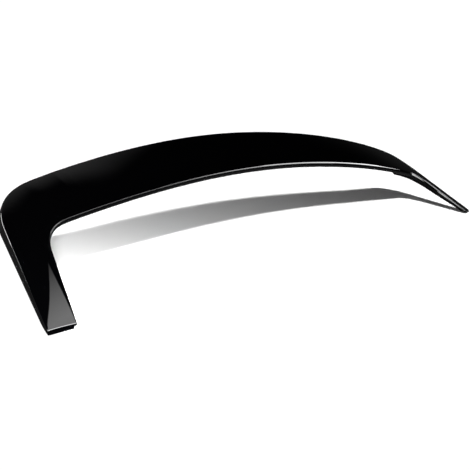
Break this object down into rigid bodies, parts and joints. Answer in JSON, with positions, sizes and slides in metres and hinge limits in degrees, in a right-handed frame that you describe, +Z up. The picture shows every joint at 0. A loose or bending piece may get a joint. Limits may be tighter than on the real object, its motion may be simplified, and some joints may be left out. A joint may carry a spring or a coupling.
{
  "type": "roof spoiler",
  "caption": "Gloss-black one-piece roof spoiler for a hatchback: crowned blade with a trailing lip, rounded corners and two short tapering legs.",
  "frame": {"origin": "middle of the box round the part, on the plane of the legs' undersides", "axes": "+X across the car, along the part's length; +Y to the front of the car; +Z up"},
  "size_m": [1.18, 0.2792, 0.0554],
  "materials": {
    "gloss_black": "high gloss"
  },
  "bodies": {
    "root": {"spoiler": "gloss_black"}
  },
  "joints": []
}
